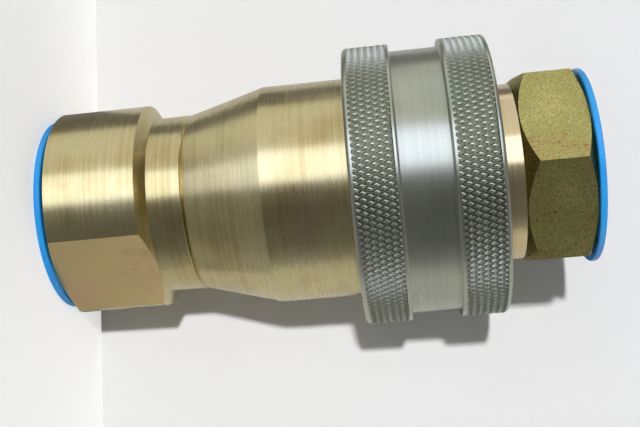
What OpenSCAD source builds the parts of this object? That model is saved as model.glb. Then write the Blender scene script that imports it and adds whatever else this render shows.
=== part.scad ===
// Ball-lock quick coupling: coupler half and nipple half joined, with a plastic plug in each port.
// The axis is +Z, and Z = 0 is the outer face of the coupler's port plug.

/* [Coupler adapter] */
// Diameter of the coupler's port end
port_end_d = 47.1; // [44:0.1:50]
// Length of the port end, from its face to its shoulder
port_end_len = 21.3; // [18:0.1:30]
// Distance across the two wrench flats
flats_af = 41; // [38:0.5:44]
// Width of the slope round the port end's face, measured on the radius
end_slope_w = 3.25; // [1:0.05:4]
// Length of that slope along the axis
end_slope_len = 1.3; // [0.5:0.1:3]
// Length of the shoulder between the port end and the neck
shoulder_len = 1.8; // [1:0.1:4]
// Diameter of the neck
neck_d = 40.8; // [39:0.1:44]
// Length of the neck
neck_len = 7.8; // [6:0.1:14]
// Length of the spigot that enters the body
spigot_len = 4.2; // [3.8:0.1:6]

/* [Coupler body] */
// Slope of the cone, from the axis
cone_angle = 15; // [10:1:30]
// Length of the barrel that shows behind the sleeve
barrel_len = 18.9; // [12:0.1:30]
// Wall between the probe's bore and the outside of the nose
nose_wall = 3.85; // [3.2:0.05:5]
// Distance from the row of balls to the end of the nose
nose_len = 8.4; // [7:0.1:11]

/* [Locking sleeve] */
// Length of the rear knurled band
rear_band_len = 10.5; // [8:0.1:14]
// Length of the grip groove between the bands
grip_groove_len = 11; // [8:0.1:16]
// Length of the front knurled band
front_band_len = 10.4; // [8:0.1:14]
// Height of the bands above the grip groove
band_height = 1.7; // [0.8:0.1:2.5]
// Wall between the spring chamber and the grip groove
sleeve_wall = 5; // [3.5:0.1:7]
// Radius of the sleeve's outer corners
corner_r = 0.9; // [0.4:0.1:1.5]
// How far the nose lies back inside the sleeve
nose_recess = 3.7; // [1:0.1:5]
// Wire diameter of the sleeve's spring
sleeve_wire_d = 1.8; // [1.2:0.1:2]
// Turns of the sleeve's spring
sleeve_turns = 3.5; // [2.5:0.5:4]
// Wire diameter of the ring that stops the sleeve
stop_wire_d = 1.8; // [1.4:0.1:2.2]

/* [Balls] */
// Diameter of a locking ball
ball_d = 6.35; // [5.5:0.05:6.6]
// Number of locking balls
ball_count = 12; // [8:1:14]

/* [Nipple] */
// Diameter of the probe that enters the coupler
probe_d = 37.7; // [36.5:0.1:40]
// Diameter of the neck that shows in front of the sleeve
nipple_neck_d = 40.4; // [39:0.1:42]
// Length of that neck between the sleeve and the hexagon
nipple_neck_len = 4.7; // [3:0.1:10]
// Distance across the hexagon's flats
hex_af = 41; // [40.6:0.1:46]
// Length of the hexagon
hex_len = 15; // [12:0.1:22]
// Slope of the chamfer at the neck side, from the face
hex_front_angle = 40; // [20:1:50]
// Slope of the chamfer at the port side, from the face
hex_port_angle = 32; // [20:1:45]
// Turn of the hexagon about the axis
hex_turn = -2.8; // [-30:0.1:30]

/* [Ports] */
// Diameter of the straight bore behind the tapered thread
port_bore_d = 29.3; // [28:0.1:30]
// Length of the tapered thread
thread_len = 10.6; // [9:0.1:12]
// Length of the straight bore that a pipe can reach
port_bore_len = 9.8; // [8:0.1:11]

/* [Valves] */
// How far each poppet stands open while the halves are joined
valve_lift = 5.5; // [4.5:0.1:6]
// Diameter of the poppets' noses
poppet_nose_d = 7; // [5:0.1:8]
// Diameter of the poppets' stems
poppet_stem_d = 8; // [6:0.1:9]
// Wire diameter of the valve springs
valve_wire_d = 1.6; // [1.2:0.1:1.8]
// Turns of the coupler's valve spring
coupler_valve_turns = 4.5; // [3:0.5:5]
// Turns of the nipple's valve spring
nipple_valve_turns = 7; // [5:0.5:9]
// Thickness of the valve guides
guide_t = 2.5; // [2:0.1:3]

/* [Seals] */
// Section of the probe's O-ring
probe_ring_d = 3.4; // [2.8:0.1:3.8]
// Width of the backup ring beside it
backup_t = 1.4; // [1:0.1:2]
// Section of the O-rings on the poppets
poppet_ring_d = 2; // [1.6:0.1:2.2]
// Section of the O-ring between adapter and body
joint_ring_d = 1.6; // [1.2:0.1:2]

/* [Port plugs] */
// Diameter of a plug's flange
plug_flange_d = 44; // [40:0.5:50]
// Thickness of the flange
plug_flange_t = 1.4; // [1:0.1:2.5]
// Length of the plug's shank in the port
plug_shank_len = 10; // [6:0.1:10.4]
// Wall of the plug
plug_wall = 1.4; // [1:0.1:2.5]

/* [Fits] */
// Radial gap of pieces that slide or turn in each other
fit_gap = 0.05; // [0.02:0.01:0.09]
// Gap between pieces that only lie beside each other
loose_gap = 0.3; // [0.1:0.05:0.35]

/* [Hidden] */
$fn = 96;
edge = 0.4; // small broken edges
port_taper = 1 / 32; // taper of the pipe thread, on the radius

// radii of the neck and the port end
neck_r = neck_d / 2;
port_end_r = port_end_d / 2;

// radii of the probe, its bore and what surrounds it
probe_r = probe_d / 2;
bore_r = probe_r + fit_gap;
nose_r = bore_r + nose_wall;
land_r = nose_r + fit_gap;
barrel_r = nose_r + sleeve_wire_d + 2 * loose_gap;
sleeve_bore_r = barrel_r + fit_gap;
ball_r = ball_d / 2;
ball_row_r = land_r - fit_gap / 2 - ball_r;
relief_r = bore_r + ball_d + loose_gap / 2;
grip_r = sleeve_bore_r + sleeve_wall;
band_r = grip_r + band_height;

// stations along the axis, outside
z_port_face = plug_flange_t;
z_shoulder = z_port_face + port_end_len;
z_neck = z_shoulder + shoulder_len;
z_joint = z_neck + neck_len;
z_barrel = z_joint + (barrel_r - neck_r) / tan(cone_angle);
z_sleeve = z_barrel + barrel_len;
z_groove = z_sleeve + rear_band_len;
z_front_band = z_groove + grip_groove_len;
z_sleeve_end = z_front_band + front_band_len;
z_hex = z_sleeve_end + nipple_neck_len;
z_nipple_face = z_hex + hex_len;

// stations under the sleeve
rear_bearing = 3.2; // barrel inside the sleeve's rear end
land_ramp = 0.8; // slope that lifts over the balls
z_step = z_sleeve + rear_bearing;
z_nose = z_sleeve_end - nose_recess;
z_ball = z_nose - nose_len;
z_land = z_ball - ball_r;
z_ramp = z_ball + ball_r / 2;

// ring that stops the sleeve: it touches the ramp
stop_ring_r = nose_r + stop_wire_d / 7;
z_stop_ring = z_ramp + (stop_ring_r - land_r) + sqrt(2) * (stop_wire_d / 2 + fit_gap / 2);

// gland of the probe's seals, in the thick part of the body
gland_end_wall = 2;
gland_len = probe_ring_d + backup_t + 2 * loose_gap;
gland_r = bore_r + probe_ring_d + fit_gap;
z_gland_end = z_step - gland_end_wall;
z_gland = z_gland_end - gland_len;

// probe
probe_lead = 2.2; // slope on the probe's tip
z_tip = z_gland - probe_lead - edge;
z_collar = z_nose + 1.5;
groove_r = ball_row_r - ball_r - fit_gap;
groove_half = sqrt(2) * (ball_r + fit_gap) - (ball_row_r - probe_r);
nipple_neck_r = nipple_neck_d / 2;

// adapter and body joint
socket_r = neck_r - 2.55;
spigot_r = socket_r - fit_gap;
z_guide = z_joint + spigot_len;
z_chamber = z_guide + guide_t;

// ports
port_r = port_bore_d / 2;
thread_end_r = port_r + 0.2;
thread_mouth_r = thread_end_r + thread_len * port_taper;
mouth_edge = 0.8;
passage_r = port_r - 1.65;

// coupler valve
chamber_r = socket_r - 1;
coupler_head_r = chamber_r - 3;
coupler_hole_r = coupler_head_r - 2;
seat_slope = 2.6; // height of the seat's cone
z_web = z_tip - 1;
web_t = 5;
z_web_back = z_web - web_t;
z_meet = z_tip + 3;

// nipple valve
nipple_bore_r = port_r - 0.85;
nipple_head_r = nipple_bore_r - 2.4;
nipple_hole_r = nipple_head_r - 1.8;
nipple_seat_slope = 2.4;
z_nipple_seat = z_tip + 3;
z_nipple_chamber = z_nipple_seat + nipple_seat_slope;
snap_t = 1.5; // groove of the ring that holds the guide
z_snap = z_nipple_face - thread_len - port_bore_len - snap_t;
z_nipple_guide = z_snap - guide_t;
snap_depth = 0.75;

// poppets
cone_step = 0.4; // the poppet's cone starts inside the seat's hole
poppet_rim = 1.6;
stem_r = poppet_stem_d / 2;
hub_r = stem_r + 2.5;
hub_reach = 4; // hub of the coupler's guide beyond its web, and its front end
nipple_hub_reach = 5;
z_coupler_head = z_web_back + seat_slope + cone_step - valve_lift;
z_nipple_head = z_nipple_seat - cone_step + valve_lift;
coupler_head_t = coupler_head_r - coupler_hole_r + cone_step + poppet_rim;
nipple_head_t = nipple_head_r - nipple_hole_r + cone_step + poppet_rim;

// Points of an arc in the (radius, z) plane, from angle a0 to a1.
function arc(centre, r, a0, a1, steps = 4) =
    [for (i = [0 : steps]) centre + r * [cos(a0 + (a1 - a0) * i / steps), sin(a0 + (a1 - a0) * i / steps)]];

// A solid of revolution from points of (radius, z).
module turned(points) {
    rotate_extrude() polygon(points);
}

// A closed ring of round section.
module o_ring(ring_r, section_r, z) {
    translate([0, 0, z]) rotate_extrude() translate([ring_r, 0]) circle(r = section_r, $fn = 32);
}

// Height of a spring's centre line after a turns out of total: closed ends, even pitch between.
function coil_z(a, total, len, wire) =
    let (dead = 0.6, rise = wire * dead, live = len - wire - 2 * rise)
    wire / 2 + (a < dead ? wire * a
        : a > total - dead ? len - wire - wire * (total - a)
        : rise + live * (a - dead) / (total - 2 * dead));

// A compression spring standing on z, with closed ends.
module spring(coil_r, wire, turns, z, len, steps = 18, sides = 6) {
    rings = turns * steps;
    points = [for (i = [0 : rings], k = [0 : sides - 1])
        let (turn = i / steps, a = 360 * turn, b = 360 * k / sides,
            r = coil_r + wire / 2 * cos(b))
        [r * cos(a), r * sin(a), z + coil_z(turn, turns, len, wire) + wire / 2 * sin(b)]];
    walls = [for (i = [0 : rings - 1], k = [0 : sides - 1])
        let (n = (k + 1) % sides)
        [i * sides + k, i * sides + n, (i + 1) * sides + n, (i + 1) * sides + k]];
    start_cap = [for (k = [0 : sides - 1]) sides - 1 - k];
    end_cap = [for (k = [0 : sides - 1]) rings * sides + k];
    polyhedron(points, concat([start_cap], walls, [end_cap]), convexity = 10);
}

// A port's cavity below its face at z = 0: broken mouth, tapered thread, straight bore.
module port_cavity(depth) {
    turned([
        [0, 1],
        [thread_mouth_r + mouth_edge + 1, 1],
        [thread_mouth_r - mouth_edge * port_taper, -mouth_edge],
        [thread_end_r, -thread_len],
        [port_r, -thread_len],
        [port_r, -depth],
        [0, -depth]
    ]);
}

// A poppet: its head's front plane is at z = 0 and its nose points up.
module poppet(head_r, hole_r, head_t, nose_len, stem_len, seal_r) {
    small_r = hole_r - cone_step;
    nose_r = poppet_nose_d / 2;
    difference() {
        turned([
            [0, nose_len],
            [nose_r - 1, nose_len],
            [nose_r, nose_len - 1],
            [nose_r, 1.5],
            [nose_r + 1.5, 0],
            [small_r, 0],
            [head_r, small_r - head_r],
            [head_r, -head_t + edge],
            [head_r - edge, -head_t],
            [stem_r, -head_t],
            [stem_r, -head_t - stem_len + edge],
            [stem_r - edge, -head_t - stem_len],
            [0, -head_t - stem_len]
        ]);
        poppet_ring(head_r, small_r, seal_r + fit_gap);
    }
}

// The O-ring let into a poppet's cone, standing a little proud of it.
module poppet_ring(head_r, small_r, section_r) {
    sink = poppet_ring_d * 0.26;
    half = (head_r - small_r) / 2;
    o_ring(small_r + half - sink, section_r, -half - sink);
}

// A spider that guides a poppet's stem: rim, three arms and a hub. Its web stands on z = 0.
module valve_guide(outer_r, rim_w, hub_front, hub_back) {
    arm_w = 3.2;
    difference() {
        union() {
            difference() {
                cylinder(r = outer_r, h = guide_t);
                translate([0, 0, -1]) cylinder(r = outer_r - rim_w, h = guide_t + 2);
            }
            for (i = [0 : 2])
                rotate(120 * i) translate([hub_r / 2, -arm_w / 2, 0])
                    cube([outer_r - rim_w / 2 - hub_r / 2, arm_w, guide_t]);
            translate([0, 0, -hub_back]) cylinder(r = hub_r, h = hub_back + guide_t + hub_front);
        }
        translate([0, 0, -hub_back - 1])
            cylinder(r = stem_r + fit_gap, h = hub_back + guide_t + hub_front + 2);
    }
}

// A push-in port plug: flange on z = 0 to plug_flange_t, hollow shank above, open below.
module port_plug() {
    root_r = thread_mouth_r - fit_gap;
    tip_r = root_r - plug_shank_len * port_taper;
    z_tip_face = plug_flange_t + plug_shank_len;
    flange_r = plug_flange_d / 2;
    turned(concat(
        [[root_r - plug_wall, 0]],
        arc([flange_r - edge, edge], edge, -90, 0),
        arc([flange_r - edge, plug_flange_t - edge], edge, 0, 90),
        [[root_r, plug_flange_t]],
        [[tip_r, z_tip_face - 2 * edge]],
        [[tip_r - 2 * edge, z_tip_face]],
        [[0, z_tip_face]],
        [[0, z_tip_face - plug_wall]],
        [[tip_r - plug_wall - edge, z_tip_face - plug_wall]],
        [[tip_r - plug_wall, z_tip_face - plug_wall - edge]]
    ));
}

module coupler_adapter() {
    color("#8f8353") difference() {
        turned([
            [passage_r, z_port_face],
            [port_end_r - end_slope_w, z_port_face],
            [port_end_r, z_port_face + end_slope_len],
            [port_end_r, z_shoulder],
            [neck_r, z_neck],
            [neck_r, z_joint - edge],
            [neck_r - edge, z_joint],
            [spigot_r, z_joint],
            [spigot_r, z_guide - edge],
            [spigot_r - edge, z_guide],
            [passage_r, z_guide]
        ]);
        translate([0, 0, z_port_face]) mirror([0, 0, 1])
            port_cavity(thread_len + port_bore_len + 2);
        wrench_flats();
        joint_ring_groove();
    }
}

// Two flats across the port end, square to the direction 45 degrees from +X towards -Y.
module wrench_flats() {
    for (side = [0, 180])
        rotate(side - 45) translate([flats_af / 2, -port_end_r, z_port_face - 1])
            cube([port_end_r, 2 * port_end_r, z_neck - z_port_face + 1]);
}

module joint_ring_groove() {
    z = z_joint + spigot_len / 2;
    half_w = joint_ring_d / 2 + fit_gap;
    difference() {
        translate([0, 0, z - half_w]) cylinder(r = spigot_r + 1, h = 2 * half_w);
        translate([0, 0, z - half_w - 1])
            cylinder(r = socket_r - joint_ring_d - fit_gap, h = 2 * half_w + 2);
    }
}

module joint_o_ring() {
    color("#1c1c1c")
        o_ring(socket_r - joint_ring_d / 2 - fit_gap / 2, joint_ring_d / 2, z_joint + spigot_len / 2);
}

module coupler_body() {
    color("#96895a") difference() {
        turned([
            [socket_r, z_joint],
            [neck_r - edge, z_joint],
            [neck_r, z_joint + edge],
            [barrel_r, z_barrel],
            [barrel_r, z_step - edge],
            [barrel_r - edge, z_step],
            [nose_r, z_step],
            [nose_r, z_nose - 1],
            [nose_r - 1, z_nose],
            [bore_r + 1, z_nose],
            [bore_r, z_nose - 1],
            [bore_r, z_gland_end],
            [gland_r, z_gland_end],
            [gland_r, z_gland],
            [bore_r, z_gland],
            [bore_r, z_web],
            [coupler_hole_r, z_web],
            [coupler_hole_r, z_web_back + seat_slope],
            [coupler_hole_r + seat_slope, z_web_back],
            [chamber_r, z_web_back],
            [chamber_r, z_chamber],
            [socket_r, z_chamber]
        ]);
        o_ring(stop_ring_r, stop_wire_d / 2 + fit_gap, z_stop_ring);
        for (i = [0 : ball_count - 1])
            rotate(360 * i / ball_count) translate([0, 0, z_ball]) rotate([0, 90, 0]) ball_hole();
    }
}

// A radial hole for a ball, along +Z from the axis: its inner lip keeps the ball in.
module ball_hole() {
    hole_r = ball_r + fit_gap;
    lip_z = ball_row_r - ball_r * 0.08;
    lip_drop = sqrt(pow(ball_r, 2) - pow(ball_row_r - bore_r, 2));
    translate([0, 0, lip_z]) cylinder(r = hole_r, h = nose_r - lip_z + 1);
    translate([0, 0, bore_r - 1]) cylinder(r = lip_drop + fit_gap, h = lip_z - bore_r + 1.5);
}

module locking_sleeve() {
    color("#8d8c72") turned(concat(
        [[sleeve_bore_r, z_sleeve + edge]],
        [[sleeve_bore_r + edge, z_sleeve]],
        arc([band_r - corner_r, z_sleeve + corner_r], corner_r, -90, 0),
        arc([band_r - corner_r / 2, z_groove - corner_r / 2], corner_r / 2, 0, 90),
        [[grip_r, z_groove]],
        [[grip_r, z_front_band]],
        arc([band_r - corner_r / 2, z_front_band + corner_r / 2], corner_r / 2, -90, 0),
        arc([band_r - corner_r, z_sleeve_end - corner_r], corner_r, 0, 90),
        [[relief_r + 2 * edge, z_sleeve_end]],
        [[relief_r, z_sleeve_end - 2 * edge]],
        [[relief_r, z_ramp + land_ramp]],
        [[land_r + land_ramp, z_ramp + land_ramp]],
        [[land_r, z_ramp]],
        [[land_r, z_land]],
        [[sleeve_bore_r, z_land]]
    ));
}

module sleeve_spring() {
    color("#9a9a9a") spring((nose_r + sleeve_bore_r) / 2, sleeve_wire_d, sleeve_turns, z_step,
        z_land - z_step);
}

module sleeve_retaining_ring() {
    opening = 12;
    color("#6f6f6f") difference() {
        o_ring(stop_ring_r, stop_wire_d / 2, z_stop_ring);
        translate([0, -opening / 4, z_stop_ring - stop_wire_d])
            cube([2 * stop_ring_r, opening / 2, 2 * stop_wire_d]);
    }
}

module locking_balls() {
    color("#c8c8c8") for (i = [0 : ball_count - 1])
        rotate(360 * i / ball_count) translate([ball_row_r, 0, z_ball]) sphere(d = ball_d, $fn = 48);
}

module probe_o_ring() {
    color("#1c1c1c") o_ring(probe_r + probe_ring_d / 2 + fit_gap / 2, probe_ring_d / 2,
        z_gland + loose_gap / 2 + probe_ring_d / 2);
}

module probe_backup_ring() {
    z = z_gland_end - loose_gap / 2 - backup_t;
    color("#e8e6df") translate([0, 0, z]) difference() {
        cylinder(r = gland_r - fit_gap, h = backup_t);
        translate([0, 0, -1]) cylinder(r = bore_r, h = backup_t + 2);
    }
}

module coupler_poppet() {
    color("#b5a36a") translate([0, 0, z_coupler_head])
        poppet(coupler_head_r, coupler_hole_r, coupler_head_t, z_meet - fit_gap / 2 - z_coupler_head,
            z_coupler_head - coupler_head_t - (z_guide - 2.5), poppet_ring_d / 2);
}

module coupler_poppet_seal() {
    color("#1c1c1c") translate([0, 0, z_coupler_head])
        poppet_ring(coupler_head_r, coupler_hole_r - cone_step, poppet_ring_d / 2);
}

module coupler_valve_spring() {
    color("#9a9a9a") spring(hub_r + loose_gap + valve_wire_d, valve_wire_d, coupler_valve_turns,
        z_chamber, z_coupler_head - coupler_head_t - z_chamber);
}

module coupler_valve_guide() {
    color("#a0a0a0") translate([0, 0, z_guide])
        valve_guide(socket_r - fit_gap, 2.6, hub_reach, 3);
}

module nipple_body() {
    hex_r = hex_af / 2 / cos(30);
    color("#a89763") difference() {
        union() {
            turned([
                [nipple_hole_r - 1, z_tip],
                [probe_r - probe_lead, z_tip],
                [probe_r, z_tip + probe_lead],
                [probe_r, z_ball - groove_half],
                [groove_r, z_ball - groove_half + probe_r - groove_r],
                [groove_r, z_ball + groove_half - probe_r + groove_r],
                [probe_r, z_ball + groove_half],
                [probe_r, z_collar],
                [nipple_neck_r - edge, z_collar],
                [nipple_neck_r, z_collar + edge],
                [nipple_neck_r, z_hex + 1],
                [nipple_hole_r - 1, z_hex + 1]
            ]);
            intersection() {
                rotate(hex_turn - 90) translate([0, 0, z_hex])
                    cylinder(r = hex_r, h = hex_len, $fn = 6);
                turned([
                    [0, z_hex],
                    [nipple_neck_r, z_hex],
                    [hex_r + 1, z_hex + (hex_r + 1 - nipple_neck_r) * tan(hex_front_angle)],
                    [hex_r + 1, z_nipple_face - (hex_r + 1 - nipple_neck_r) * tan(hex_port_angle)],
                    [nipple_neck_r, z_nipple_face],
                    [0, z_nipple_face]
                ]);
            }
        }
        turned([
            [0, z_tip - 1],
            [nipple_hole_r, z_tip - 1],
            [nipple_hole_r, z_nipple_seat],
            [nipple_hole_r + nipple_seat_slope, z_nipple_chamber],
            [nipple_bore_r, z_nipple_chamber],
            [nipple_bore_r, z_nipple_guide],
            [port_r, z_nipple_guide],
            [port_r, z_snap],
            [port_r + snap_depth, z_snap],
            [port_r + snap_depth, z_snap + snap_t],
            [0, z_snap + snap_t]
        ]);
        translate([0, 0, z_nipple_face]) port_cavity(z_nipple_face - z_snap - snap_t / 2);
    }
}

module nipple_poppet() {
    color("#b5a36a") translate([0, 0, z_nipple_head]) mirror([0, 0, 1])
        poppet(nipple_head_r, nipple_hole_r, nipple_head_t, z_nipple_head - z_meet - fit_gap / 2,
            z_snap - fit_gap - z_nipple_head - nipple_head_t, poppet_ring_d / 2);
}

module nipple_poppet_seal() {
    color("#1c1c1c") translate([0, 0, z_nipple_head]) mirror([0, 0, 1])
        poppet_ring(nipple_head_r, nipple_hole_r - cone_step, poppet_ring_d / 2);
}

module nipple_valve_spring() {
    z = z_nipple_head + nipple_head_t;
    color("#9a9a9a") spring(hub_r + loose_gap + valve_wire_d, valve_wire_d, nipple_valve_turns, z,
        z_nipple_guide - z);
}

module nipple_valve_guide() {
    color("#a0a0a0") translate([0, 0, z_snap]) mirror([0, 0, 1])
        valve_guide(port_r - fit_gap, 2, nipple_hub_reach, 0);
}

module nipple_guide_ring() {
    opening = 9;
    ring_t = snap_t - fit_gap;
    color("#6f6f6f") translate([0, 0, z_snap]) difference() {
        cylinder(r = port_r + snap_depth - fit_gap, h = ring_t);
        translate([0, 0, -1]) cylinder(r = port_r - 1.3, h = ring_t + 2);
        translate([0, -opening / 2, -1]) cube([2 * port_r, opening, ring_t + 2]);
    }
}

module coupler_port_plug() {
    color("#2f9fe8") port_plug();
}

module nipple_port_plug() {
    color("#2f9fe8") translate([0, 0, z_nipple_face + plug_flange_t]) mirror([0, 0, 1]) port_plug();
}

coupler_adapter();
coupler_body();
joint_o_ring();
locking_sleeve();
sleeve_spring();
sleeve_retaining_ring();
locking_balls();
probe_o_ring();
probe_backup_ring();
coupler_poppet();
coupler_poppet_seal();
coupler_valve_spring();
coupler_valve_guide();
nipple_body();
nipple_poppet();
nipple_poppet_seal();
nipple_valve_spring();
nipple_valve_guide();
nipple_guide_ring();
coupler_port_plug();
nipple_port_plug();
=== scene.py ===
"""Quick coupling: materials, fine knurl, stage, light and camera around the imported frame."""
import math

import bpy
from mathutils import Matrix, Vector


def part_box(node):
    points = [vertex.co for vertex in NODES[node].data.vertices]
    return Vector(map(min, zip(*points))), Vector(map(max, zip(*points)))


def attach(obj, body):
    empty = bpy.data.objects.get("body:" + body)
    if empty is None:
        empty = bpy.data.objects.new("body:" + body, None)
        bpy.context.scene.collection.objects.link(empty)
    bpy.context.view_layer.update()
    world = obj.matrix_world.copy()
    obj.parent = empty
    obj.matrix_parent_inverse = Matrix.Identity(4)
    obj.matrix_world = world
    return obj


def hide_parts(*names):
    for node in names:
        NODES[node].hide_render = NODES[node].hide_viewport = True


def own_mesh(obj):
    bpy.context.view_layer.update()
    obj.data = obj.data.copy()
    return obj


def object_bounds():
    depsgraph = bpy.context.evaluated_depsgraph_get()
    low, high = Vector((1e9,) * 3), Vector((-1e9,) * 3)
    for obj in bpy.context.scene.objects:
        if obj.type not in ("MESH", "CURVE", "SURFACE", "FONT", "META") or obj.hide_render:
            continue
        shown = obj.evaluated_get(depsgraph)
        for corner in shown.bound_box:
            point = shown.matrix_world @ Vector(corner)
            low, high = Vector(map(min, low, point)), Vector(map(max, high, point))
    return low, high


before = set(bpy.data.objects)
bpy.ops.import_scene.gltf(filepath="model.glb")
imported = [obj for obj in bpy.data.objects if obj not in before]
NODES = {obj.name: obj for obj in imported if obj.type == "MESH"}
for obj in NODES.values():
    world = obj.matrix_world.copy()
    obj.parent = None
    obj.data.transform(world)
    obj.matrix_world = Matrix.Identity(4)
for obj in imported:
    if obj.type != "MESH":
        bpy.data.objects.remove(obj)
cad_low, cad_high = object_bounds()
MM = 0.001
HEX_LENGTH = 15 * MM           # the nipple's hexagon, along the axis
FLAT_AT = 20.5 * MM            # the wrench flats' distance from the axis
PLUG_FLANGE = 2.6 * MM

scene = bpy.context.scene
scene.view_settings.view_transform = "Standard"

# ---------------------------------------------------------------- camera
cam_data = bpy.data.cameras.new("camera")
cam_data.lens, cam_data.sensor_width = 54.47, 36.0
cam_data.clip_start, cam_data.clip_end = 0.01, 20.0
camera = bpy.data.objects.new("camera", cam_data)
scene.collection.objects.link(camera)
cam_right = Vector((0.09385, 0.08075, 0.99230))
cam_up = Vector((-0.99558, 0.00761, 0.09354))
cam_back = cam_right.cross(cam_up)
view_axes = Matrix((cam_right, cam_up, cam_back)).transposed()
camera.matrix_world = Matrix.Translation(Vector((5.39, -225.9, 78.5)) * MM) @ view_axes.to_4x4()
scene.camera = camera


# ---------------------------------------------------------------- node helpers
class Tree:
    """A node tree that is built with short calls."""

    def __init__(self, owner):
        owner.use_nodes = True
        self.tree = owner.node_tree
        self.tree.nodes.clear()

    def add(self, kind, inputs=None, **settings):
        n = self.tree.nodes.new(kind)
        for key, value in settings.items():
            setattr(n, key, value)
        for key, value in (inputs or {}).items():
            self.put(n.inputs[key], value)
        return n

    def put(self, socket, value):
        if isinstance(value, bpy.types.NodeSocket):
            self.tree.links.new(value, socket)
        else:
            socket.default_value = value

    def math(self, operation, *values, clamp=False):
        n = self.add("ShaderNodeMath", operation=operation, use_clamp=clamp)
        for i, value in enumerate(values):
            self.put(n.inputs[i], value)
        return n.outputs[0]

    def noise(self, vector, scale, detail=3.0, roughness=0.5):
        n = self.add("ShaderNodeTexNoise", {"Vector": vector, "Scale": scale, "Detail": detail,
                                            "Roughness": roughness})
        return n.outputs["Fac"]

    def stretched(self, vector, scale):
        return self.add("ShaderNodeMapping", {"Vector": vector, "Scale": scale}).outputs[0]

    def ramp(self, factor, stops):
        n = self.add("ShaderNodeValToRGB", {"Fac": factor})
        band = n.color_ramp
        while len(band.elements) < len(stops):
            band.elements.new(0.5)
        for element, (place, colour) in zip(band.elements, stops):
            element.position = place
            element.color = (*colour, 1.0)
        return n.outputs["Color"]

    def even_ramp(self, factor, colours, first, width):
        """A ramp through colours, spaced evenly over width from first."""
        gap = width / (len(colours) - 1)
        return self.ramp(factor, [(first + gap * i, c) for i, c in enumerate(colours)])

    def mix(self, factor, a, b):
        n = self.add("ShaderNodeMix", data_type="RGBA")
        self.put(n.inputs["Factor"], factor)
        for socket, value in ((n.inputs[6], a), (n.inputs[7], b)):
            self.put(socket, (*value, 1.0) if isinstance(value, tuple) else value)
        return n.outputs[2]

    def pick(self, factor, a, b):
        """The number a where factor is 0, and b where it is 1."""
        return self.add("ShaderNodeMix", {"Factor": factor, "A": a, "B": b}, data_type="FLOAT").outputs[0]

    def total(self, *parts):
        """The sum of (height, share) pairs."""
        heights = [self.math("MULTIPLY", value, share) for value, share in parts]
        whole = heights[0]
        for height in heights[1:]:
            whole = self.math("ADD", whole, height)
        return whole

    def span(self, value, low, high, to_low, to_high):
        n = self.add("ShaderNodeMapRange", {"Value": value, "From Min": low, "From Max": high,
                                            "To Min": to_low, "To Max": to_high})
        return n.outputs[0]

    def bump(self, height, distance):
        n = self.add("ShaderNodeBump", {"Height": height, "Distance": distance, "Strength": 1.0})
        return n.outputs[0]


def material(name):
    """(material, tree, shader, object coordinates) of a new surface."""
    mat = bpy.data.materials.new(name)
    t = Tree(mat)
    shader = t.add("ShaderNodeBsdfPrincipled")
    t.add("ShaderNodeOutputMaterial", {"Surface": shader.outputs[0]})
    coords = t.add("ShaderNodeTexCoord").outputs["Object"]
    return mat, t, shader, coords


def turned_shade(t, co, tones, tint, rough, lines, patch=0.6):
    """(colour, roughness, height) of a turned surface: fine grooves round the axis, and a
    passivation film that shifts between tones in broad patches, with rarer patches of tint."""
    fine = t.noise(t.stretched(co, (10, 10, lines)), 1.0, 5.0, 0.7)
    coarse = t.noise(t.stretched(co, (6, 6, lines / 3)), 1.0, 3.0, 0.6)
    patches = t.noise(co, 45.0, 4.0, 0.55)
    grain = t.noise(co, 2400.0, 2.0, 0.5)
    blend = t.total((coarse, 0.25), (patches, patch), (fine, 0.75 - patch))
    colour = t.even_ramp(blend, tones, 0.36, 0.28)
    spots = t.noise(t.stretched(co, (1, 1, 1.6)), 36.0, 3.0, 0.6)
    colour = t.mix(t.span(spots, 0.55, 0.72, 0.0, 0.5), colour, tint)
    roughness = t.span(t.total((fine, 0.5), (patches, 0.5)), 0.35, 0.65, *rough)
    height = t.total((fine, 0.7), (grain, 0.3))
    return colour, roughness, height


def turned_steel(name, tones, tint, rough=(0.20, 0.33), groove=9e-6, lines=2600.0, anisotropy=0.5):
    """Steel turned about Z. groove is the depth of its marks, and lines how many there are a metre."""
    mat, t, s, co = material(name)
    s.inputs["Metallic"].default_value = 1.0
    s.inputs["Anisotropic"].default_value = anisotropy
    s.inputs["Anisotropic Rotation"].default_value = 0.25
    t.put(s.inputs["Tangent"], t.add("ShaderNodeTangent", direction_type="RADIAL", axis="Z").outputs[0])
    colour, roughness, height = turned_shade(t, co, tones, tint, rough, lines)
    t.put(s.inputs["Base Color"], colour)
    t.put(s.inputs["Roughness"], roughness)
    t.put(s.inputs["Normal"], t.bump(height, groove))
    return mat


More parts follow.
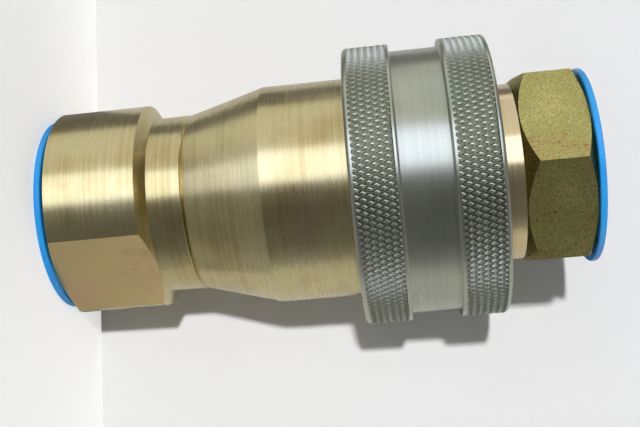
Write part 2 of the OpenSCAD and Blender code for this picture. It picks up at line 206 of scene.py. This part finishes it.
def adapter_surface(name, tones, tint, flat_tones, flat_at):
    """Turned steel with two milled flats, square to +X-Y, at flat_at from the axis."""
    mat, t, s, co = material(name)
    s.inputs["Metallic"].default_value = 1.0
    colour, roughness, height = turned_shade(t, co, tones, tint, (0.17, 0.29), 2600.0)
    parts = t.add("ShaderNodeSeparateXYZ", {"Vector": co}).outputs
    h = math.sqrt(0.5)
    across = t.math("MULTIPLY", t.math("SUBTRACT", parts[0], parts[1]), h)
    along = t.math("MULTIPLY", t.math("ADD", parts[0], parts[1]), h)
    on_flat = t.math("GREATER_THAN", t.math("ABSOLUTE", across), flat_at - 3e-5)
    slant = t.total((along, 0.8), (parts[2], 0.6))
    other = t.total((along, -0.6), (parts[2], 0.8))
    place = t.add("ShaderNodeCombineXYZ", {"X": t.math("MULTIPLY", slant, 25.0),
                                           "Y": t.math("MULTIPLY", other, 1500.0)}).outputs[0]
    marks = t.noise(place, 1.0, 4.0, 0.65)
    cloud = t.noise(co, 75.0, 3.0, 0.6)
    flat_colour = t.even_ramp(t.total((marks, 0.35), (cloud, 0.65)), flat_tones, 0.38, 0.24)
    t.put(s.inputs["Base Color"], t.mix(on_flat, colour, flat_colour))
    flat_rough = t.span(marks, 0.3, 0.7, 0.42, 0.56)
    t.put(s.inputs["Roughness"], t.pick(on_flat, roughness, flat_rough))
    t.put(s.inputs["Normal"], t.bump(t.pick(on_flat, height, t.math("MULTIPLY", marks, 0.6)), 1.1e-5))
    return mat


def nipple_surface(name, tones, spot, neck_tones, hex_from):
    """Hexagon bar with a sparkling grain, passivated in gold with red and green; below hex_from
    the neck and the probe are turned bright."""
    mat, t, s, co = material(name)
    s.inputs["Metallic"].default_value = 1.0
    grain = t.noise(co, 1700.0, 3.0, 0.62)
    flecks = t.noise(co, 3400.0, 2.0, 0.6)
    patches = t.noise(co, 85.0, 3.0, 0.55)
    colour = t.even_ramp(t.total((grain, 0.6), (patches, 0.4)), tones, 0.38, 0.24)
    colour = t.mix(t.span(flecks, 0.52, 0.70, 0.0, 0.6), colour, spot)
    neck, neck_rough, neck_height = turned_shade(t, co, neck_tones, (0.72, 0.46, 0.36), (0.12, 0.24),
                                                 1800.0, 0.5)
    z = t.add("ShaderNodeSeparateXYZ", {"Vector": co}).outputs[2]
    on_hex = t.math("GREATER_THAN", z, hex_from)
    t.put(s.inputs["Base Color"], t.mix(on_hex, neck, colour))
    hex_rough = t.span(grain, 0.3, 0.7, 0.24, 0.42)
    t.put(s.inputs["Roughness"], t.pick(on_hex, neck_rough, hex_rough))
    height = t.math("MULTIPLY", t.total((grain, 0.7), (flecks, 0.4)), 14.0)
    t.put(s.inputs["Normal"], t.bump(t.pick(on_hex, neck_height, height), 7e-6))
    return mat


def plastic(name, colour, deep, rough=0.34):
    """Soft moulded polyethylene: a little light goes through it, with faint flow marks."""
    mat, t, s, co = material(name)
    flow = t.noise(co, 60.0, 3.0, 0.5)
    t.put(s.inputs["Base Color"], t.mix(t.span(flow, 0.35, 0.65, 0.0, 1.0), deep, colour))
    s.inputs["Subsurface Weight"].default_value = 0.25
    s.inputs["Subsurface Radius"].default_value = (0.2, 0.6, 1.0)
    s.inputs["Subsurface Scale"].default_value = 0.0008
    t.put(s.inputs["Roughness"], t.span(t.noise(co, 220.0, 2.0), 0.3, 0.7, rough - 0.06, rough + 0.08))
    t.put(s.inputs["Normal"], t.bump(t.noise(co, 700.0, 3.0, 0.6), 2e-5))
    return mat


def rubber(name, colour, rough=0.55):
    """Moulded or turned seal: matt, with a faint cloudy bloom."""
    mat, t, s, co = material(name)
    cloud = t.noise(co, 300.0, 3.0, 0.6)
    lighter = tuple(min(1.0, c * 1.5 + 0.008) for c in colour)
    t.put(s.inputs["Base Color"], t.mix(t.span(cloud, 0.4, 0.7, 0.0, 1.0), colour, lighter))
    t.put(s.inputs["Roughness"], t.span(cloud, 0.3, 0.7, rough - 0.1, rough + 0.12))
    t.put(s.inputs["Normal"], t.bump(t.noise(co, 1500.0, 2.0, 0.5), 1.5e-5))
    return mat


BODY_TONES = [(0.46, 0.36, 0.15), (0.60, 0.50, 0.24), (0.70, 0.61, 0.33), (0.56, 0.50, 0.25)]
z_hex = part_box("nipple_body")[1].z - HEX_LENGTH
body_steel = turned_steel("plated_body", BODY_TONES, (0.64, 0.50, 0.36))
adapter_steel = adapter_surface("plated_adapter", BODY_TONES, (0.70, 0.55, 0.34),
                                [(0.80, 0.55, 0.28), (0.90, 0.69, 0.36), (0.92, 0.72, 0.34),
                                 (0.95, 0.67, 0.38)], FLAT_AT)
sleeve_steel = turned_steel("plated_sleeve", [(0.40, 0.42, 0.33), (0.50, 0.51, 0.41), (0.56, 0.57, 0.47)],
                            (0.40, 0.52, 0.42), rough=(0.24, 0.38))
hex_steel = nipple_surface("plated_hexagon", [(0.38, 0.20, 0.10), (0.48, 0.38, 0.12), (0.40, 0.42, 0.13),
                                              (0.62, 0.52, 0.20)], (0.85, 0.66, 0.34),
                           [(0.66, 0.48, 0.28), (0.76, 0.62, 0.34), (0.80, 0.70, 0.46)], z_hex)
valve_steel = turned_steel("plated_valve", BODY_TONES, (0.7, 0.6, 0.4), rough=(0.3, 0.42))
spring_steel = turned_steel("spring_wire", [(0.30, 0.30, 0.31), (0.44, 0.44, 0.45)], (0.4, 0.36, 0.3),
                            lines=400.0, anisotropy=0.0)
ball_steel = turned_steel("bearing_steel", [(0.60, 0.60, 0.62), (0.68, 0.68, 0.70)], (0.6, 0.6, 0.6),
                          rough=(0.08, 0.16), groove=1e-6, anisotropy=0.0)
blue_plastic = plastic("plug_blue", (0.035, 0.41, 0.93), (0.02, 0.33, 0.84))
seal_rubber = rubber("seal_black", (0.012, 0.012, 0.013))
ptfe = rubber("backup_white", (0.70, 0.69, 0.65), 0.4)


def dress(surface, *names):
    for n in names:
        mesh = NODES[n].data
        mesh.materials.clear()
        mesh.materials.append(surface)


dress(adapter_steel, "coupler_adapter")
dress(body_steel, "coupler_body")
dress(sleeve_steel, "locking_sleeve")
dress(hex_steel, "nipple_body")
dress(valve_steel, "coupler_poppet", "nipple_poppet", "coupler_valve_guide", "nipple_valve_guide")
dress(spring_steel, "sleeve_spring", "coupler_valve_spring", "nipple_valve_spring",
      "sleeve_retaining_ring", "nipple_guide_ring")
dress(ball_steel, "locking_balls")
dress(seal_rubber, "joint_o_ring", "probe_o_ring", "coupler_poppet_seal", "nipple_poppet_seal")
dress(ptfe, "probe_backup_ring")
dress(blue_plastic, "coupler_port_plug", "nipple_port_plug")


# ---------------------------------------------------------------- knurled sleeve
def new_piece(name, points, faces, mat, body):
    mesh = bpy.data.meshes.new(name)
    mesh.from_pydata(points, [], faces)
    mesh.update()
    mesh.materials.append(mat)
    piece = bpy.data.objects.new(name, mesh)
    scene.collection.objects.link(piece)
    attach(piece, body)
    return piece


def arc(radius_mid, z_mid, r, a0, a1, steps=6):
    """Points (radius, z) of an arc, angles in degrees."""
    return [(radius_mid + r * math.cos(math.radians(a0 + (a1 - a0) * i / steps)),
             z_mid + r * math.sin(math.radians(a0 + (a1 - a0) * i / steps))) for i in range(steps + 1)]


# millimetres, as far as the springs
TEETH = 142
PER_TOOTH = 8                  # columns of the knurl's grid to a tooth
FINE, COARSE = TEETH * PER_TOOTH, TEETH * 2
KNURL_DEPTH = 0.62
ROW = 1.45 * 2 / PER_TOOTH     # one step of the grid along the axis
EDGE, INNER_EDGE = 0.9, 0.4    # rounding of the bands' outer corners, and chamfer of the bore
PLAIN = 1.9                    # what a band leaves plain beside its knurl
REAR_BAND, GROOVE, FRONT_BAND = 10.5, 11.0, 10.4
BALL_R = 3.175
BALLS_BACK = 12.1              # from the sleeve's front to the balls' plane

s_low, s_high = (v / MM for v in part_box("locking_sleeve"))
z0, z1 = s_low.z, s_high.z
BAND_R = min(s_high.x, -s_low.x, -s_low.y) - 0.004
GRIP_R, BORE_R, LAND_R, RELIEF_R = BAND_R - 1.7, 25.2, 22.8, 25.4
z_groove = z0 + REAR_BAND
z_front = z_groove + GROOVE
z_ball = z1 - BALLS_BACK
z_land, z_ramp = z_ball - BALL_R, z_ball + BALL_R / 2


def tri(x):
    """0 at whole numbers, 1 halfway between them."""
    f = x - math.floor(x)
    return 1.0 - abs(2.0 * f - 1.0)


def knurl_radius(i, j):
    """Radius at column i of FINE and row j: pyramids with worn, rounded tips."""
    a, b = (i + j) / PER_TOOTH, (i - j) / PER_TOOTH
    h = min(1.0, min(tri(a), tri(b)) * 1.7)
    h = h * h * (3 - 2 * h) * 0.35 + h * 0.65
    return BAND_R - KNURL_DEPTH * (1.0 - h)


def ring(radius, z):
    return radius, z, None


def knurl_rings(middle, room):
    """Rings of a knurl that is centred on middle and fits in room."""
    rows = int(room / ROW)
    start = middle - rows * ROW / 2
    knurl = [(None, start + j * ROW, j) for j in range(rows + 1)]
    return [ring(BAND_R, start - ROW * 0.6), *knurl, ring(BAND_R, start + (rows + 0.6) * ROW)]


def sleeve_profile():
    """Rings from the rear inner edge, over the outside, to the front inner edge and back inside.
    Each is (radius, z, None), or (None, z, row of the knurl)."""
    c, e, lip = EDGE, INNER_EDGE, 0.15
    rear = [ring(BORE_R, z0 + e), ring(BORE_R + e, z0)]
    rear += [ring(*p) for p in arc(BAND_R - c, z0 + c, c, -90, 0)]
    rear += knurl_rings((z0 + z_groove) / 2 + 0.1, REAR_BAND - PLAIN)
    rear += [ring(*p) for p in arc(BAND_R - c / 2, z_groove - c / 2, c / 2, 0, 90)]
    grip = [ring(GRIP_R + lip, z_groove), ring(GRIP_R, z_groove + lip),
            ring(GRIP_R, z_front - lip), ring(GRIP_R + lip, z_front)]
    front = [ring(*p) for p in arc(BAND_R - c / 2, z_front + c / 2, c / 2, -90, 0)]
    front += knurl_rings((z_front + z1) / 2 - 0.1, FRONT_BAND - PLAIN)
    front += [ring(*p) for p in arc(BAND_R - c, z1 - c, c, 0, 90)]
    inside = [ring(RELIEF_R + 2 * e, z1), ring(RELIEF_R, z1 - 2 * e), ring(RELIEF_R, z_ramp + 0.8),
              ring(LAND_R + 0.8, z_ramp + 0.8), ring(LAND_R, z_ramp), ring(LAND_R, z_land),
              ring(BORE_R, z_land)]
    return rear + grip + front + inside


def knurl_faces(p, q, row):
    """Triangles between two fine rings that start at points p and q, split along the ridges."""
    faces = []
    for i in range(FINE):
        j = (i + 1) % FINE
        if (i + row + 1) % PER_TOOTH == 0:
            faces += [(p + i, p + j, q + i), (p + j, q + j, q + i)]
        else:
            faces += [(p + i, p + j, q + j), (p + i, q + j, q + i)]
    return faces


def fan_faces(coarse, fine, fine_first):
    """Triangles between a coarse and a fine ring that start at those points."""
    faces, ratio = [], FINE // COARSE
    for i in range(COARSE):
        j = (i + 1) % COARSE
        for k in range(ratio):
            f0, f1 = ratio * i + k, (ratio * i + k + 1) % FINE
            faces.append((fine + f0, fine + f1, coarse + (i if k < ratio // 2 else j)))
            if k == ratio // 2 - 1:
                faces.append((fine + f1, coarse + j, coarse + i))
    return faces if fine_first else [f[::-1] for f in faces]


def knurled_sleeve():
    points, faces, rings = [], [], []
    for radius, z, row in sleeve_profile():
        count = COARSE if row is None else FINE
        rings.append((len(points), count, row))
        for i in range(count):
            a = 2 * math.pi * i / count
            r = radius if row is None else knurl_radius(i, row)
            points.append((r * MM * math.cos(a), r * MM * math.sin(a), z * MM))
    for (p, n, row), (q, m, _) in zip(rings, rings[1:] + rings[:1]):
        if n == m == FINE:
            faces += knurl_faces(p, q, row)
        elif n == m:
            faces += [(p + i, p + (i + 1) % n, q + (i + 1) % n, q + i) for i in range(n)]
        elif n == FINE:
            faces += fan_faces(q, p, True)
        else:
            faces += fan_faces(p, q, False)
    piece = new_piece("knurled_sleeve", points, faces, sleeve_steel, "sleeve")
    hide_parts("locking_sleeve")
    piece.data.set_sharp_from_angle(angle=math.radians(35))


knurled_sleeve()


# ---------------------------------------------------------------- springs
CLOSED = 0.6                   # turns at each end that lie against each other
TURN_STEPS, WIRE_SIDES = 48, 12


def coil(name, node, wire, turns, body):
    """A smooth spring in place of a faceted node, with closed ends."""
    low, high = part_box(node)
    coil_r = min(high.x, -low.x, high.y, -low.y) - wire / 2
    first, last = low.z + wire / 2, high.z - wire / 2
    sides = WIRE_SIDES
    count = round(turns * TURN_STEPS)
    live = turns - 2 * CLOSED
    pitch = (last - first - 2 * wire * CLOSED) / live
    points, faces = [], []
    for i in range(count + 1):
        at = turns * i / count
        z = (first + wire * min(at, CLOSED) + pitch * min(max(at - CLOSED, 0.0), live)
             + wire * max(0.0, at - turns + CLOSED))
        a = 2 * math.pi * at
        for k in range(sides):
            b = 2 * math.pi * k / sides
            r = coil_r + wire / 2 * math.cos(b)
            points.append((r * math.cos(a), r * math.sin(a), z + wire / 2 * math.sin(b)))
    for i in range(count):
        for k in range(sides):
            n = (k + 1) % sides
            faces.append((i * sides + k, (i + 1) * sides + k, (i + 1) * sides + n, i * sides + n))
    faces.append(tuple(range(sides)))
    faces.append(tuple(count * sides + k for k in reversed(range(sides))))
    piece = new_piece(name, points, faces, spring_steel, body)
    piece.data.shade_smooth()
    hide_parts(node)
    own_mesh(piece)


coil("sleeve_coil", "sleeve_spring", 1.8 * MM, 3.5, "coupler")
coil("coupler_valve_coil", "coupler_valve_spring", 1.6 * MM, 4.5, "coupler")
coil("nipple_valve_coil", "nipple_valve_spring", 1.6 * MM, 7, "nipple")


# ---------------------------------------------------------------- stage and light
def plane(name, centre, along, across, mat):
    """A rectangle with its centre, half its length and half its width as vectors."""
    c, u, v = Vector(centre), Vector(along), Vector(across)
    mesh = bpy.data.meshes.new(name)
    mesh.from_pydata([c - u - v, c + u - v, c + u + v, c - u + v], [], [(0, 1, 2, 3)])
    mesh.materials.append(mat)
    o = bpy.data.objects.new(name, mesh)
    scene.collection.objects.link(o)
    return o


def paper_material(name, colour, one_sided=False, lift=0.0):
    """Matt white. Seen from behind, and for the lamps behind it, a one-sided sheet isn't there,
    and reflections show it a painted grey, a painted shade for where the coupling shades it. lift is
    light that only the camera sees, so that a floor lit at a low angle stays pale."""
    mat = bpy.data.materials.new(name)
    t = Tree(mat)
    cloud = t.noise(t.add("ShaderNodeTexCoord").outputs["Object"], 12.0, 2.0)
    shade = t.mix(cloud, tuple(c * 0.985 for c in colour), colour)
    face = t.add("ShaderNodeBsdfDiffuse", {"Color": shade}).outputs[0]
    if lift:
        seen_part = t.math("MULTIPLY", t.add("ShaderNodeLightPath").outputs["Is Camera Ray"], lift)
        own = t.add("ShaderNodeEmission", {"Color": (1, 1, 1, 1), "Strength": seen_part}).outputs[0]
        face = t.add("ShaderNodeAddShader", {0: face, 1: own}).outputs[0]
    if one_sided:
        # painted shade: in reflections the sheet is a plain grey, standing in for the shade the coupling
        # casts on it
        glossy_ray = t.add("ShaderNodeLightPath").outputs["Is Glossy Ray"]
        painted_shade_grey = t.add("ShaderNodeBsdfDiffuse", {"Color": (0.62, 0.62, 0.62, 1.0)}).outputs[0]
        face = t.add("ShaderNodeMixShader", {0: glossy_ray, 1: face, 2: painted_shade_grey}).outputs[0]
        back = t.add("ShaderNodeNewGeometry").outputs["Backfacing"]
        lamp_ray = t.add("ShaderNodeLightPath").outputs["Is Shadow Ray"]
        hidden = t.math("MAXIMUM", back, lamp_ray)
        clear = t.add("ShaderNodeBsdfTransparent").outputs[0]
        face = t.add("ShaderNodeMixShader", {0: hidden, 1: face, 2: clear}).outputs[0]
    t.add("ShaderNodeOutputMaterial", {"Surface": face})
    return mat


PAPER = (0.90, 0.90, 0.905)
FLOOR_DROP = 0.02 * MM
floor = plane("floor", (0, 0, -FLOOR_DROP), (3, 0, 0), (0, 3, 0),
              paper_material("floor_white", PAPER, lift=0.48))
floor.visible_glossy = False

# The sheet stands behind the coupling and touches the port end and the sleeve, as the surface
# that the coupling would lie on. It faces a little to the side, and ends a short way past the
# coupling there.
port_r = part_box("coupler_adapter")[1].x
lean = math.atan((s_high.x * MM - port_r) / ((z0 + EDGE) * MM - PLUG_FLANGE))
sheet_turn = math.radians(14)
away = Vector((math.sin(sheet_turn), math.cos(sheet_turn), 0))
beside = Vector((math.cos(sheet_turn), -math.sin(sheet_turn), 0))
up_sheet = away * math.sin(lean) + Vector((0, 0, math.cos(lean)))
foot = away * (port_r + 0.2 * MM - PLUG_FLANGE * math.tan(lean))
near, far, half = -0.095, 1.5, 1.5
plane("backdrop", foot + up_sheet * half + beside * (near + far) / 2,
      beside * (far - near) / 2, up_sheet * half,
      paper_material("backdrop_white", PAPER, one_sided=True))


def area_lamp(name, angle, rise, distance, size, power, colour=(1, 1, 1), glossy=True, diffuse=True):
    """A rectangular lamp that faces the coupling. angle is measured from -Y towards -X, rise
    above the horizontal; size is (across, along Z)."""
    target = (cad_low + cad_high) / 2
    a, e = math.radians(angle), math.radians(rise)
    out = Vector((-math.sin(a) * math.cos(e), -math.cos(a) * math.cos(e), math.sin(e)))
    data = bpy.data.lights.new(name, "AREA")
    data.shape, data.size, data.size_y = "RECTANGLE", size[0], size[1]
    data.energy, data.color = power, colour
    o = bpy.data.objects.new(name, data)
    y_axis = (Vector((0, 0, 1)) - out * out.z).normalized()
    axes = Matrix((y_axis.cross(out), y_axis, out)).transposed()
    o.matrix_world = Matrix.Translation(target + out * distance) @ axes.to_4x4()
    o.visible_glossy, o.visible_diffuse = glossy, diffuse
    scene.collection.objects.link(o)


area_lamp("key", 18, 6, 1.6, (0.07, 0.07), 18.5, glossy=False)
area_lamp("key_shine", 27, 0, 0.9, (0.56, 1.5), 4.6, (0.93, 1.0, 1.3), diffuse=False)
area_lamp("upper_shine", 74, 0, 0.9, (1.0, 1.5), 2.9, diffuse=False)
area_lamp("back_shine", 200, 20, 0.9, (0.25, 0.9), 1.6, diffuse=False)
area_lamp("side_shine", 110, 25, 1.0, (0.2, 0.9), 0.5, diffuse=False)

world = bpy.data.worlds.new("studio")
scene.world = world
w = Tree(world)
direction = w.add("ShaderNodeTexCoord").outputs["Generated"]
parts = w.add("ShaderNodeSeparateXYZ", {"Vector": direction})
# paler towards +X; darker ahead and a little towards +X, as where a person stands
side = w.span(parts.outputs[0], -1.0, 1.0, 0.16, 0.38)
dim = w.add("ShaderNodeVectorMath", {0: direction, 1: (0.60, -0.80, 0.0)},
            operation="DOT_PRODUCT").outputs["Value"]
dark = w.span(dim, 0.64, 0.93, 1.0, 0.4)
level = w.math("MULTIPLY", side, dark)
# less of it reaches the shadows
path = w.add("ShaderNodeLightPath")
level = w.math("MULTIPLY", level, w.span(path.outputs["Is Diffuse Ray"], 0.0, 1.0, 1.0, 0.55))
lit = w.add("ShaderNodeBackground", {"Color": (0.97, 0.985, 1.0, 1), "Strength": level}).outputs[0]
seen = w.add("ShaderNodeBackground", {"Color": (0.86, 0.865, 0.88, 1), "Strength": 1.0}).outputs[0]
both = w.add("ShaderNodeMixShader", {0: path.outputs["Is Camera Ray"], 1: lit, 2: seen}).outputs[0]
w.add("ShaderNodeOutputWorld", {"Surface": both})
